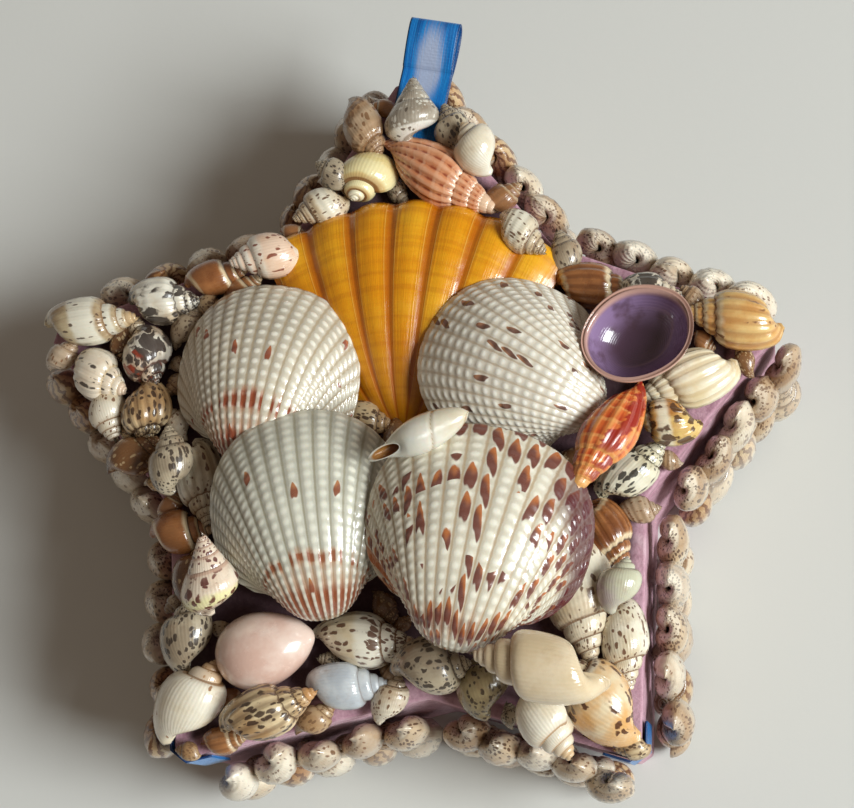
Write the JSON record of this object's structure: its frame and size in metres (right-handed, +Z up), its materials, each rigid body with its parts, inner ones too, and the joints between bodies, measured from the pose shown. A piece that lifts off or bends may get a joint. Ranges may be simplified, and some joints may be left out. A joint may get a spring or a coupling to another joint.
{
  "type": "trinket box",
  "caption": "Star-shaped trinket box covered in sea shells, with a flat hinged lid and a ribbon pull loop.",
  "frame": {"origin": "centre of the star, on the underside of the tray", "axes": "+Z up through the lid, +Y towards the tip with the pull loop, +X to the right seen from above with that tip away"},
  "size_m": [0.108, 0.109, 0.0474],
  "materials": {
    "flocked_card": "matte",
    "white_shell": "gloss",
    "satin_ribbon": "satin",
    "brown_shell": "gloss",
    "cream_shell": "gloss",
    "purple_shell": "gloss",
    "red_shell": "gloss",
    "orange_shell": "gloss",
    "wall_shell": "gloss"
  },
  "bodies": {
    "base": {"box_base": "flocked_card", "hinge_ribbon_left": "satin_ribbon", "hinge_ribbon_right": "satin_ribbon", "wall_shells_1": "wall_shell", "wall_shells_2": "wall_shell", "wall_shells_3": "wall_shell", "wall_shells_4": "wall_shell", "wall_shells_5": "wall_shell"},
    "lid": {"box_lid": "flocked_card", "centre_shell": "white_shell", "cockle_1": "white_shell", "cockle_2": "white_shell", "cockle_3": "white_shell", "cockle_4": "white_shell", "left_banded": "brown_shell", "left_beaded": "cream_shell", "left_black_white": "cream_shell", "left_brown": "brown_shell", "left_brown_white": "brown_shell", "left_low_grey": "cream_shell", "left_orange_white": "cream_shell", "left_spotted": "cream_shell", "left_striped": "cream_shell", "left_tip_whelk": "cream_shell", "low_bean": "cream_shell", "low_brown": "brown_shell", "low_cream": "white_shell", "low_dotted_cone": "cream_shell", "low_glassy": "white_shell", "low_grey_speckled": "cream_shell", "low_mottled": "brown_shell", "low_speckled": "cream_shell", "low_striped": "cream_shell", "pull_loop": "satin_ribbon", "purple_cup": "purple_shell", "right_black_spots": "cream_shell", "right_low_brown": "brown_shell", "right_low_grey": "cream_shell", "right_low_lilac": "cream_shell", "right_low_mottled": "cream_shell", "right_low_orange": "brown_shell", "right_low_spiral": "cream_shell", "right_low_spotted": "cream_shell", "right_low_white": "white_shell", "right_red_spindle": "red_shell", "right_ribbed_white": "white_shell", "right_tip_cream": "cream_shell", "right_up_black_white": "cream_shell", "right_up_orange": "brown_shell", "right_yellow_brown": "brown_shell", "scallop": "orange_shell", "top_cone": "cream_shell", "top_corner_pale": "cream_shell", "top_grey": "cream_shell", "top_left_white": "cream_shell", "top_ribbed": "red_shell", "top_right_grey": "cream_shell", "top_right_white": "cream_shell", "top_yellow": "cream_shell"}
  },
  "joints": [
    {"name": "lid_hinge", "type": "hinge", "parent": "base", "child": "lid", "pos_m": [0, -0.0434, 0.02465], "axis": [1, 0, 0], "range_deg": [0, 95], "deforming": ["hinge_ribbon_left", "hinge_ribbon_right"]}
  ]
}
